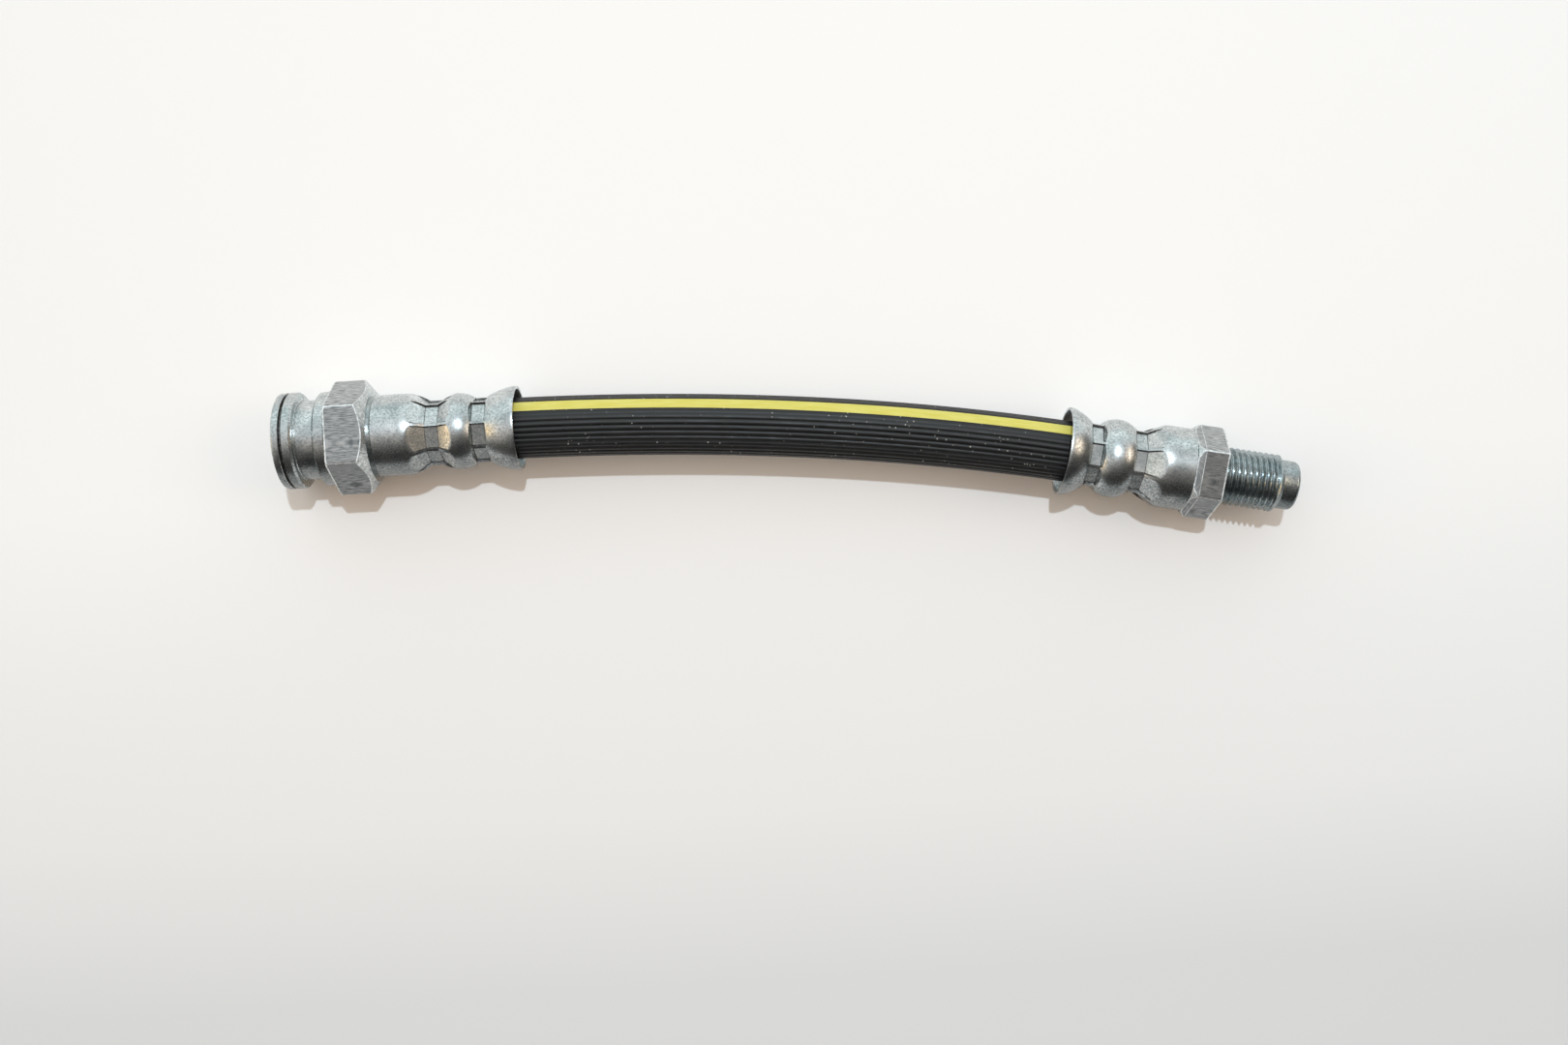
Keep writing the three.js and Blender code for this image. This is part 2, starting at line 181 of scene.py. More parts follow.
MALE = dict(
    mouth=15.2, bulge=13.5, barrel=14.2, hose_band=5.0, hex_band=12.6, jaw=1.7, draw_in=4.6,
    pocket=18.4, inner_ramp=False, crimp_turn=math.radians(-2.5),
    across_flats=14.0, hex_turn=math.radians(-6.2), hex_start=21.6, hex_length=5.2,
    back_chamfer=0.85, back_angle=math.radians(40), front_chamfer=0.2,
)
HEX_BEVEL_LENGTH = 1.1
HEX_BEVEL_INSET = 0.35
THREAD_LENGTH = 10.6
THREAD_LEAD = 0.6
PILOT_DIAMETER = 8.4
PILOT_LENGTH = 3.0
PILOT_ROUND = 0.8
PILOT_ROUND_STEPS = 6
PILOT_FILLET_LENGTH = 0.15
PILOT_FILLET_HEIGHT = 0.05
BORE_COUNTERSINK = 0.5

# Edges that a tool has just broken, and how much is turned off the hexagons' corners and the male nose
BROKEN_EDGE = 0.1
CORNER_TURN_OFF = 0.08
NOSE_FACED_OFF = 0.02

# Width of the worn strip beside an edge, its share of that beside the male hexagon's bevel, and width of the
# strip of painted shade in the crease at the foot of a crimping jaw's walls
WORN_EDGE = 0.18
WORN_BEVEL_SHARE = 0.6
CREASE_WIDTH = 0.1

# How finely the outlines are followed, and how near counts as meeting
COLUMN_STEP = math.radians(2.4)
SHELL_PITCH = 0.4
POCKET_PITCH = 0.6
FLANK_STEPS = 5
BLEND_STEPS = 3
FLANK_MARGIN = 0.3
LONGEST_FLANK = 6.0
HALVINGS = 40
LEAST_STRIP = 0.01
RING_TOLERANCE = 0.01
WELD_DISTANCE = 0.0001
CLOSE = 1e-6

# The braid's strands as they are drawn, and how many radians a wave pattern goes through in one unit
STRAND_SPACING = 3.14
WAVE_RATE = 20

# Angles between faces above which an edge is sharp
FITTING_SHARP_ANGLE = math.radians(31)
HOSE_SHARP_ANGLE = math.radians(50)

for sizes in (FEMALE, MALE):
    sizes["hex_end"] = sizes["hex_start"] + sizes["hex_length"]
FEMALE["length"] = FEMALE["hex_end"] + BOSS_LENGTH + CLIP_NECK_LENGTH + COLLAR_LENGTH
MALE["length"] = MALE["hex_end"] + THREAD_LENGTH + PILOT_LENGTH


# Where things lie

class Lie:
    """A line that a turned piece is made on: where its mouth is, and its own along, up and side."""

    def __init__(self, mouth, along):
        self.mouth = Vector(mouth)
        self.along = Vector(along).normalized()
        flat = Vector((self.along.x, self.along.y, 0)).normalized()
        north = UP.cross(flat)
        self.side = north if north.y > 0 else -north
        self.up = (UP - self.along * self.along.z).normalized()
        self.hand = 1 if self.up.cross(self.side).dot(self.along) > 0 else -1

    def point(self, along, radius, turn):
        outward = self.up * math.cos(turn) + self.side * math.sin(turn)
        return (self.mouth + self.along * along + outward * radius) * MM


hex_middle = FEMALE["hex_start"] + FEMALE["hex_length"] / 2
female_lie = Lie((hex_middle, 0, FEMALE["across_flats"] / 2), (-1, 0, 0))

corner_reach = MALE["across_flats"] / math.sqrt(3) * math.cos(math.pi / 6 - abs(MALE["hex_turn"]))
rest_slope = math.atan2(MALE["mouth"] / 2 - corner_reach, MALE["hex_end"] - MALE["front_chamfer"])
male_mouth = (hex_middle + MOUTH_TO_MOUTH, MOUTH_OFFSET, MALE["mouth"] / 2 * math.cos(rest_slope))
male_along = (
    math.cos(rest_slope) * math.cos(BEND_ANGLE),
    math.cos(rest_slope) * math.sin(BEND_ANGLE),
    -math.sin(rest_slope),
)
male_lie = Lie(male_mouth, male_along)


# Outlines of the crimped shells

def flare(t):
    return t ** FLARE_POWER


def fall(t):
    return t ** SHOULDER_POWER


def rise(t):
    return 1 - fall(1 - t)


def radius_at(knots, along):
    """Radius of an outline that runs through knots of (along, radius, easing)."""
    if along <= knots[0][0]:
        return knots[0][1]
    for (start, first, _), (end, last, easing) in zip(knots, knots[1:]):
        if along <= end:
            return first + (last - first) * easing((along - start) / (end - start))
    return knots[-1][1]


def shell_knots(sizes, mouth, band, bulge, barrel):
    half = sizes["jaw"] / 2
    return [
        (0, mouth, flare),
        (sizes["hose_band"] - half, band, flare),
        (sizes["hose_band"] + half, band, rise),
        ((sizes["hose_band"] + sizes["hex_band"]) / 2, bulge, rise),
        (sizes["hex_band"] - half, band, fall),
        (sizes["hex_band"] + half, band, rise),
        (sizes["hex_band"] + half + sizes["draw_in"], barrel, rise),
    ]


def shell_outside(sizes):
    return shell_knots(
        sizes, sizes["mouth"] / 2, RIB_CREST_DIAMETER / 2, sizes["bulge"] / 2, sizes["barrel"] / 2
    )


def shell_inside(sizes):
    return shell_knots(
        sizes,
        sizes["mouth"] / 2 - LIP_THICKNESS,
        CRIMP_ACROSS_FLATS / 2 - BAND_WALL,
        sizes["bulge"] / 2 - BULGE_WALL,
        HOSE_DIAMETER / 2 + POCKET_CLEARANCE,
    )


# Columns of a turned piece: close enough for a round, and exactly on each edge that runs along it

JAW_STEP = FULL_TURN / JAW_COUNT
JAW_HALF = math.atan(math.tan(JAW_STEP / 2) - CRIMP_RIB_WIDTH / CRIMP_ACROSS_FLATS)
RIB_WALL_TURN = math.radians(0.6)
CREASE_TURN = math.radians(1.1)
HEX_STEP = math.pi / 3

# Finishes of a fitting, in the order of its material slots. The last is zinc painted dark as the shade in
# creases.
PLATE, DRAWN, WORN, STEM, CREASE_SHADE = range(5)


def corner_cap(sizes):
    return sizes["across_flats"] / math.sqrt(3) - CORNER_TURN_OFF


def columns(sizes):
    kept = []
    cap_half = HEX_STEP / 2 - math.acos(sizes["across_flats"] / 2 / corner_cap(sizes))
    for corner in range(6):
        turn = sizes["hex_turn"] + HEX_STEP / 2 + HEX_STEP * corner
        kept += [turn - cap_half, turn, turn + cap_half]
    for jaw in range(JAW_COUNT):
        turn = sizes["crimp_turn"] + JAW_STEP * jaw
        for edge in (-1, 1):
            kept += [turn + edge * (JAW_HALF + more) for more in (-CREASE_TURN, 0, RIB_WALL_TURN)]
        kept.append(turn + JAW_STEP / 2)
    kept = sorted(turn % FULL_TURN for turn in kept)
    turns = []
    for start, end in zip(kept, kept[1:] + [kept[0] + FULL_TURN]):
        steps = max(1, round((end - start) / COLUMN_STEP))
        turns += [start + (end - start) * step / steps for step in range(steps)]
    return turns


def off_centre(turn, first, step):
    """Angle from the middle of the nearest of several evenly spaced flats."""
    return (turn - first + step / 2) % step - step / 2


# Rows of a turned piece. Each is a list of (along, radius), one for each column.

def plain_row(turns, along, radius):
    return [(along, radius)] * len(turns)


def plain_rows(turns, outline):
    return [plain_row(turns, along, radius) for along, radius in outline]


def shell_rows(turns, sizes, start, end):
    knots = shell_outside(sizes)
    steps = max(1, round((end - start) / SHELL_PITCH))
    alongs = [start + (end - start) * step / steps for step in range(1, steps)]
    return plain_rows(turns, [(along, radius_at(knots, along)) for along in alongs])


def bite_end(knots, edge, way, slope, off):
    """How far from the edge of the flat a jaw's flank runs before it leaves the metal."""
    flat = CRIMP_ACROSS_FLATS / 2
    near, far = 0.0, LONGEST_FLANK
    for _ in range(HALVINGS):
        middle = (near + far) / 2
        inside = (flat + middle * slope) / math.cos(off) < radius_at(knots, edge + way * middle)
        near, far = (middle, far) if inside else (near, middle)
    return near


def flank_rows(turns, sizes, band, way, angle):
    """Rows from the edge of one band's flats, up its flanks, to a plain row beyond them."""
    knots = shell_outside(sizes)
    flat = CRIMP_ACROSS_FLATS / 2
    edge = band + way * sizes["jaw"] / 2
    slope = math.tan(angle)
    offs = [off_centre(turn, sizes["crimp_turn"], JAW_STEP) for turn in turns]
    reach = [bite_end(knots, edge, way, slope, min(abs(off), JAW_HALF)) for off in offs]
    beyond = max(reach) + FLANK_MARGIN
    rows = []
    for step in range(FLANK_STEPS + 1):
        row = []
        for off, run in zip(offs, reach):
            crease = min(CREASE_WIDTH, run / 2)
            out = crease + (run - crease) * (step - 1) / (FLANK_STEPS - 1) if step else 0
            along = edge + way * out
            round_metal = radius_at(knots, along)
            pressed = (flat + out * slope) / math.cos(off)
            row.append((along, pressed if abs(off) <= JAW_HALF + CLOSE else round_metal))
        rows.append(row)
    for step in range(1, BLEND_STEPS + 1):
        row = []
        for run in reach:
            along = edge + way * (run + (beyond - run) * step / BLEND_STEPS)
            row.append((along, radius_at(knots, along)))
        rows.append(row)
    return rows, edge + way * beyond


def crimp_rows(turns, sizes):
    """The outside of a shell from the mouth to the barrel, with both bands of flats, and the two rows
    at which the flats of a band begin."""
    hex_inner = JAW_RAMP_ANGLE if sizes["inner_ramp"] else JAW_WALL_ANGLE
    first_in, first_start = flank_rows(turns, sizes, sizes["hose_band"], -1, JAW_WALL_ANGLE)
    first_out, first_end = flank_rows(turns, sizes, sizes["hose_band"], 1, JAW_WALL_ANGLE)
    second_in, second_start = flank_rows(turns, sizes, sizes["hex_band"], -1, hex_inner)
    second_out, second_end = flank_rows(turns, sizes, sizes["hex_band"], 1, JAW_RAMP_ANGLE)
    drawn_out = sizes["hex_band"] + sizes["jaw"] / 2 + sizes["draw_in"]
    rows = shell_rows(turns, sizes, BROKEN_EDGE, first_start)
    flats_begin = [len(rows) + len(first_in) - 1]
    rows += first_in[::-1] + first_out
    if second_start - first_end > SHELL_PITCH:
        rows += shell_rows(turns, sizes, first_end, second_start)
    flats_begin.append(len(rows) + len(second_in) - 1)
    rows += second_in[::-1] + second_out
    rows += shell_rows(turns, sizes, second_end, drawn_out)
    rows.append(plain_row(turns, drawn_out, sizes["barrel"] / 2))
    return rows, flats_begin


def crease_columns(turns, sizes, flats_begin):
    """For each strip of the crimp, the columns that lie in the crease at the foot of a jaw's walls, which
    take the painted crease shade.
    """
    beside_rib, on_flat = set(), set()
    for column, turn in enumerate(turns):
        off = off_centre(turn, sizes["crimp_turn"], JAW_STEP)
        if -JAW_HALF - CLOSE <= off < JAW_HALF - CLOSE:
            on_flat.add(column)
        if JAW_HALF - CREASE_TURN - CLOSE <= off < JAW_HALF + RIB_WALL_TURN - CLOSE:
            beside_rib.add(column)
        if -JAW_HALF - RIB_WALL_TURN - CLOSE <= off < CREASE_TURN - JAW_HALF - CLOSE:
            beside_rib.add(column)
    creased = {}
    for begin in flats_begin:
        for strip in range(begin - FLANK_STEPS, begin + FLANK_STEPS + 1):
            at_foot = abs(strip - begin) == 1
            creased[strip] = beside_rib | on_flat if at_foot else beside_rib
    return creased


def lip_rows(turns, sizes):
    """Rows of the lip, from the inside of the mouth to its outside."""
    outer = sizes["mouth"] / 2
    inner = outer - LIP_THICKNESS
    knots_out, knots_in = shell_outside(sizes), shell_inside(sizes)
    return plain_rows(turns, [
        (BROKEN_EDGE, radius_at(knots_in, BROKEN_EDGE)),
        (BROKEN_EDGE / 3, inner + BROKEN_EDGE / 3),
        (0, inner + BROKEN_EDGE),
        (0, outer - BROKEN_EDGE),
        (BROKEN_EDGE / 3, outer - BROKEN_EDGE / 3),
        (BROKEN_EDGE, radius_at(knots_out, BROKEN_EDGE)),
    ])


def pocket_rows(turns, sizes):
    """Rows inside the shell, from the tail's tip, along the tail, over the bottom and out to the mouth."""
    tail = TAIL_DIAMETER / 2
    outline = [
        (TAIL_TIP_SETBACK, FLUID_BORE / 2),
        (TAIL_TIP_SETBACK, tail - TAIL_TIP_CHAMFER / 2),
        (TAIL_TIP_SETBACK + TAIL_TIP_CHAMFER, tail),
    ]
    for ring in range(1, TAIL_RINGS + 1):
        crest = TAIL_TIP_SETBACK + TAIL_TIP_CHAMFER + ring * TAIL_RING_PITCH
        outline.append((crest - TAIL_RING_PITCH / 2, tail))
        outline.append((crest, tail - TAIL_RING_DEPTH))
        outline.append((crest, tail))
    outline.append((sizes["pocket"], tail))
    knots = shell_inside(sizes)
    steps = round(sizes["pocket"] / POCKET_PITCH)
    for step in range(steps, 0, -1):
        along = sizes["pocket"] * step / steps
        if along > BROKEN_EDGE * 2:
            outline.append((along, radius_at(knots, along)))
    return plain_rows(turns, outline)


# Hexagons

def hexagon_rows(turns, sizes, small_end=None):
    """A hexagon whose back corners a cone turns off. Where half the width of its small end is given, its
    flats lead in from that with a shallow bevel. A narrow strip follows each edge, where the plate wears."""
    flat = sizes["across_flats"] / 2
    low = small_end or flat
    corner = sizes["across_flats"] / math.sqrt(3)
    back = corner - sizes["back_chamfer"]
    front = corner - sizes["front_chamfer"]
    cone = math.tan(sizes["back_angle"])
    lead = (flat - low) / HEX_BEVEL_LENGTH
    foot, edge, worn, bevel_end, bevel_worn, front_worn, front_edge, end = ([] for _ in range(8))
    for turn in turns:
        lean = math.cos(off_centre(turn, sizes["hex_turn"], HEX_STEP))
        bar = min(flat / lean, corner_cap(sizes))
        first = low / lean
        run = max(0, min((first - back) / (cone - lead / lean), (bar - back) / cone))
        cut = max(BROKEN_EDGE, bar - front)
        base = min(first, back)
        foot.append((sizes["hex_start"], base))
        edge.append((sizes["hex_start"] + run, base + run * cone))
        past = run + WORN_EDGE
        on_flat = min(first + past * lead / lean, bar) if small_end else bar
        worn.append((sizes["hex_start"] + past, on_flat))
        bevel_end.append((max(sizes["hex_start"] + HEX_BEVEL_LENGTH, worn[-1][0] + LEAST_STRIP), bar))
        bevel_worn.append((bevel_end[-1][0] + WORN_EDGE * WORN_BEVEL_SHARE, bar))
        front_worn.append((sizes["hex_end"] - cut - WORN_EDGE, bar))
        front_edge.append((sizes["hex_end"] - cut, bar))
        end.append((sizes["hex_end"], bar - cut))
    bevel = [bevel_end, bevel_worn] if small_end else []
    return [foot, edge, worn] + bevel + [front_worn, front_edge, end]


def hexagon_finishes(first_row, small_end=False):
    """The finish of each strip of a hexagon whose rows begin at first_row."""
    if small_end:
        strips = [PLATE, WORN, DRAWN, WORN, DRAWN, WORN, WORN]
    else:
        strips = [PLATE, WORN, DRAWN, WORN, WORN]
    return {first_row + index: finish for index, finish in enumerate(strips)}


def corner_columns(turns, sizes):
    """The columns that lie on a turned off corner of the hexagon."""
    cap_half = HEX_STEP / 2 - math.acos(sizes["across_flats"] / 2 / corner_cap(sizes))
    found = set()
    for column, turn in enumerate(turns):
        off = off_centre(turn, sizes["hex_turn"] + HEX_STEP / 2, HEX_STEP)
        if -cap_half - CLOSE <= off < cap_half - CLOSE:
            found.add(column)
    return found


# Threads

def thread_share(along, turn, hand):
    """How far out the thread's flank is, from 0 at the root to 1 at the crest."""
    place = (along / THREAD_PITCH - hand * turn / FULL_TURN) % 1
    height = abs(place - 0.5) * 2
    return min(1, max(0, (height - THREAD_ROOT_SHARE) / THREAD_FLANK_SHARE))


def thread_rows(turns, start, end, crest, root, hand, fades):
    """Rows of a thread, each fading into plain metal over the two lengths in fades at start and end."""
    fade_in, fade_out = fades
    steps = round((end - start) / THREAD_PITCH * ROWS_PER_TURN)
    rows = []
    for step in range(steps + 1):
        along = start + (end - start) * step / steps
        fade = min(1, (along - start) / fade_in, (end - along) / fade_out)
        row = []
        for turn in turns:
            share = thread_share(along, turn, hand)
            row.append((along, crest + (root - crest) * (1 - share) * fade))
        rows.append(row)
    return rows


# Meshes

def put(name, data):
    """A new object in the scene, for a mesh, a camera or a lamp."""
    piece = bpy.data.objects.new(name, data)
    bpy.context.scene.collection.objects.link(piece)
    return piece


def skin(name, points, turns, row_count, mark_at, slot_at, finishes):
    """One closed skin through rows of points, round and back to the first row. mark_at gives the way
    along and round at a row, column and turn as UVs, and slot_at the finish of a row's strip there."""
    count = len(turns)
    faces, marks, slots = [], [], []
    for index in range(row_count):
        after = (index + 1) % row_count
        for column in range(count):
            beside = (column + 1) % count
            faces.append((
                index * count + column,
                index * count + beside,
                after * count + beside,
                after * count + column,
            ))
            end_turn = turns[beside] + (FULL_TURN if beside == 0 else 0)
            marks += [
                mark_at(index, column, turns[column]),
                mark_at(index, beside, end_turn),
                mark_at(after, beside, end_turn),
                mark_at(after, column, turns[column]),
            ]
            slots.append(slot_at(index, column))
    mesh = bpy.data.meshes.new(name)
    mesh.from_pydata(points, [], faces)
    layer = mesh.uv_layers.new(name="along_and_round")
    for loop, mark in zip(layer.data, marks):
        loop.uv = mark
    mesh.polygons.foreach_set("material_index", slots)
    for finish in finishes:
        mesh.materials.append(finish)
    return mesh


def fitting_mesh(name, lie, turns, rows, finishes, finish_of_row, corners_worn, creased):
    points = []
    for row in rows:
        points += [lie.point(along, radius, turn) for (along, radius), turn in zip(row, turns)]

    def mark_at(index, column, turn):
        along, radius = rows[index][column]
        return along * MM, turn * radius * MM

    def slot_at(index, column):
        # Columns in a crease take the painted crease shade
        if column in creased.get(index, ()):
            return CREASE_SHADE
        finish = finish_of_row.get(index, PLATE)
        return WORN if finish == DRAWN and column in corners_worn else finish

    mesh = skin(name, points, turns, len(rows), mark_at, slot_at, finishes)
    return finish_mesh(name, mesh, FITTING_SHARP_ANGLE)


def finish_mesh(name, mesh, sharp):
    """Faces outwards, smooth over shallow angles and sharp over the rest. Large faces keep their own
    lie, so that the narrow one between two of them shades as a rounded edge."""
    welded = bmesh.new()
    welded.from_mesh(mesh)
    bmesh.ops.remove_doubles(welded, verts=welded.verts, dist=WELD_DISTANCE * MM)
    welded.to_mesh(mesh)
    welded.free()
    piece = put(name, mesh)
    if signed_volume(mesh) < 0:
        mesh.flip_normals()
    mesh.shade_smooth()
    mesh.set_sharp_from_angle(angle=sharp)
    shading = piece.modifiers.new("flats_stay_flat", "WEIGHTED_NORMAL")
    shading.keep_sharp = True
    return piece


def signed_volume(mesh):
    total = 0
    for face in mesh.polygons:
        corners = [mesh.vertices[i].co for i in face.vertices]
        for second, third in zip(corners[1:], corners[2:]):
            total += corners[0].dot(second.cross(third))
    return total


# Camera first, then the hose

def place_camera():
    data = bpy.data.cameras.new("camera")
    data.sensor_width = SENSOR_WIDTH
    data.lens = SENSOR_WIDTH * FOCAL_PIXELS / IMAGE_WIDTH
    data.clip_start = 10 * MM
    camera = put("camera", data)
    camera.location = Vector(CAMERA_PLACE) * MM
    camera.rotation_euler = (0, 0, CAMERA_TURN)
    bpy.context.scene.camera = camera


def hose_line():
    """Fine centreline in millimetres: straight in each shell up to the hose band, one even bend between."""
    def at(lie, depth):
        return lie.mouth + lie.along * depth

    start = at(female_lie, FEMALE["hose_band"])
    end = at(male_lie, MALE["hose_band"])
    handle = (end - start).length / 3
    lead = start - female_lie.along * handle
    trail = end - male_lie.along * handle
    bend = []
    for step in range(FINE_STEPS + 1):
        t = step / FINE_STEPS
        weights = ((1 - t) ** 3, 3 * t * (1 - t) ** 2, 3 * t * t * (1 - t), t ** 3)
        bend.append(sum((p * w for p, w in zip((start, lead, trail, end), weights)), Vector()))
    first = at(female_lie, FEMALE["pocket"] - END_CLEARANCE)
    last = at(male_lie, MALE["pocket"] - END_CLEARANCE)
    return [first] + bend + [last]


def squeeze_depths(sizes):
    """Depths in a shell at which the hose changes size, from the bottom of the pocket out to the mouth."""
    half = sizes["jaw"] / 2
    bottom = sizes["pocket"] - END_CLEARANCE
    depths = [
        sizes["hex_band"] + half + sizes["draw_in"],
        sizes["hex_band"] + half,
        sizes["hex_band"] - half,
        (sizes["hose_band"] + sizes["hex_band"]) / 2,
        sizes["hose_band"] + half,
        sizes["hose_band"] - half,
        TAIL_TIP_SETBACK,
        0,
    ]
    return [bottom] + [depth for depth in depths if depth < bottom]


def hose_route():
    """The points that the hose follows, one for each of its rings."""
    line = hose_line()
    lengths = [0]
    for before, after in zip(line, line[1:]):
        lengths.append(lengths[-1] + (after - before).length)
    in_female = [FEMALE["pocket"] - END_CLEARANCE - depth for depth in squeeze_depths(FEMALE)]
    in_male = [lengths[-1] - MALE["pocket"] + END_CLEARANCE + depth for depth in squeeze_depths(MALE)[::-1]]
    free = in_male[0] - in_female[-1]
    between = [in_female[-1] + free * step / FREE_RINGS for step in range(1, FREE_RINGS)]
    route = []
    for distance in in_female + between + in_male:
        index = min(bisect_right(lengths, distance), len(line) - 1)
        share = (distance - lengths[index - 1]) / (lengths[index] - lengths[index - 1])
        route.append(line[index - 1].lerp(line[index], share))
    return route


def hose_rings(route):
    """Each ring of the hose: centre, side, up, outer radius and cover's inner radius."""
    rings = []
    for index, centre in enumerate(route):
        ahead = (route[min(index + 1, len(route) - 1)] - route[max(index - 1, 0)]).normalized()
        side = UP.cross(ahead).normalized()
        up = ahead.cross(side)
        outer = HOSE_DIAMETER / 2
        bore = HOSE_BORE / 2
        for lie, sizes in ((female_lie, FEMALE), (male_lie, MALE)):
            depth = (centre - lie.mouth).dot(lie.along)
            if depth >= 0:
                outer = min(outer, radius_at(shell_inside(sizes), depth) - SQUEEZE_CLEARANCE)
            if depth >= TAIL_TIP_SETBACK - RING_TOLERANCE:
                bore = TAIL_DIAMETER / 2 + TAIL_CLEARANCE
        share = (COVER_INNER_DIAMETER - HOSE_BORE) / (HOSE_DIAMETER - HOSE_BORE)
        rings.append((centre, side, up, outer, bore + (outer - bore) * share))
    return rings


def rib_share(turn):
    """Depth of the moulded ribs at a turn about the hose: 0 on a crest, 1 in a groove."""
    place = (turn - RIB_PHASE) * RIB_COUNT / FULL_TURN % 1
    return abs(2 * place - 1) ** RIB_POWER


def cover_columns():
    """Turns about the hose, exact at the yellow line's edges, with each one's depth below the crests. No
    rib's column comes closer to the line's own than half a groove."""
    radius = HOSE_DIAMETER / 2
    half_line = LINE_WIDTH / 2 / radius
    groove = LINE_EDGE_GROOVE / radius
    found = []
    steps = RIB_COUNT * RIB_COLUMNS
    for step in range(steps):
        turn = RIB_PHASE + FULL_TURN * step / steps
        from_line = abs(off_centre(turn, LINE_ANGLE, FULL_TURN))
        if from_line > half_line + groove * 1.5:
            past_line = max(0, from_line - half_line - RIB_SHALLOW_TURN)
            fade = min(1, RIB_LEAST_SHARE + past_line * RIB_GAIN)
            depth = RIB_DEPTH * rib_share(turn) * fade
            found.append(((turn - LINE_ANGLE) % FULL_TURN + LINE_ANGLE, depth))
    line = [
        (-half_line - groove, LINE_CROWN),
        (-half_line - groove / 2, LINE_EDGE_DEPTH),
        (-half_line, LINE_CROWN),
        (-half_line / 2, 0),
        (0, 0),
        (half_line / 2, 0),
        (half_line, LINE_CROWN),
        (half_line + groove / 2, LINE_EDGE_DEPTH),
        (half_line + groove, LINE_CROWN),
    ]
    for turn, depth in line:
        found.append((turn % FULL_TURN + LINE_ANGLE, depth))
    found.sort()
    turns = [turn for turn, _ in found]
    depths = [depth for _, depth in found]
    on_line = []
    for turn in turns:
        off = off_centre(turn, LINE_ANGLE, FULL_TURN)
        on_line.append(-half_line - CLOSE <= off < half_line - CLOSE)
    return turns, depths, on_line


def make_hose(rubber, line_rubber):
    route = hose_route()
    rings = hose_rings(route)
    turns, depths, on_line = cover_columns()
    points, travel = [], []
    walked = 0
    for index, (centre, side, up, outer, _) in enumerate(rings):
        if index:
            walked += (centre - rings[index - 1][0]).length
        travel.append(walked)
        pressed = outer / (HOSE_DIAMETER / 2)
        for turn, depth in zip(turns, depths):
            outward = up * math.cos(turn) + side * math.sin(turn)
            points.append((centre + outward * (outer - depth * pressed)) * MM)
    for centre, side, up, _, inner in reversed(rings):
        for turn in turns:
            outward = up * math.cos(turn) + side * math.sin(turn)
            points.append((centre + outward * inner) * MM)
    travel += travel[::-1]

    def mark_at(index, column, turn):
        return travel[index] * MM, turn * (HOSE_DIAMETER / 2 * MM)

    def slot_at(index, column):
        return 1 if on_line[column] and index < len(rings) - 1 else 0

    mesh = skin("hose", points, turns, len(travel), mark_at, slot_at, [rubber, line_rubber])
    hose = finish_mesh("hose", mesh, HOSE_SHARP_ANGLE)
    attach(hose, "root")
    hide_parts("hose_cover")


# Fittings

